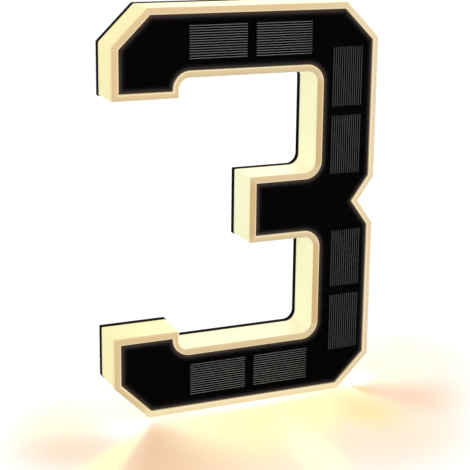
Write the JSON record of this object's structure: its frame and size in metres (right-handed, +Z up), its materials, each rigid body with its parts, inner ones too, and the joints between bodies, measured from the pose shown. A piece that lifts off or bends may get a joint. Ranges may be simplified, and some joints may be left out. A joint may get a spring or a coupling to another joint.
{
  "type": "illuminated house number sign",
  "caption": "Flat light box shaped as the figure 3, with a glowing diffuser rim, a solar face and a back plate with keyhole hangers.",
  "frame": {"origin": "centre of the bottom of the sign's box, on the surface it stands on", "axes": "+Z up, +X to the right seen from the front, -Y out of the lit front face"},
  "size_m": [0.1758, 0.0296, 0.2548],
  "materials": {
    "diffuser": "milky translucent, lit from inside",
    "clear_cover": "clear, anti-glare",
    "black_board": "black solder mask",
    "solar_cell": "black silicon with printed lines",
    "black_plastic": "fine moulded grain",
    "led": "warm white package",
    "adhesive": "foam tape",
    "seal": "silicone",
    "white_sheet": "matt white",
    "screw_steel": "zinc plated",
    "green_board": "green solder mask",
    "component_black": "moulded packages",
    "button_rubber": "soft touch",
    "battery_wrap": "shrink sleeve",
    "nickel": "nickel plated",
    "wire": "insulated"
  },
  "bodies": {
    "housing": {"diffuser": "diffuser", "face_cover": "clear_cover", "solar_board": "black_board", "back_plate": "black_plastic", "leds": "led", "panel_tape": "adhesive", "rear_gasket": "seal", "reflector": "white_sheet", "case_screws": "screw_steel", "control_board": "green_board", "board_components": "component_black", "board_screws": "screw_steel", "switch_body": "component_black", "button_seal": "seal", "battery": "battery_wrap", "battery_holder": "black_plastic", "battery_contacts": "nickel", "holder_pad": "adhesive", "battery_straps": "nickel", "panel_ribbon": "wire", "cell_top_left": "solar_cell", "cell_top_right": "solar_cell", "cell_upper_high": "solar_cell", "cell_upper_low": "solar_cell", "cell_lower_high": "solar_cell", "cell_lower_low": "solar_cell", "cell_bottom_left": "solar_cell", "cell_bottom_right": "solar_cell"},
    "button": {"button_cap": "button_rubber", "switch_plunger": "component_black"}
  },
  "joints": [
    {"name": "button_press", "type": "slide", "parent": "housing", "child": "button", "axis": [0, -1, 0], "range_m": [0, 0.0012], "stiffness_N_per_m": 800, "springref_m": -0.0005}
  ]
}
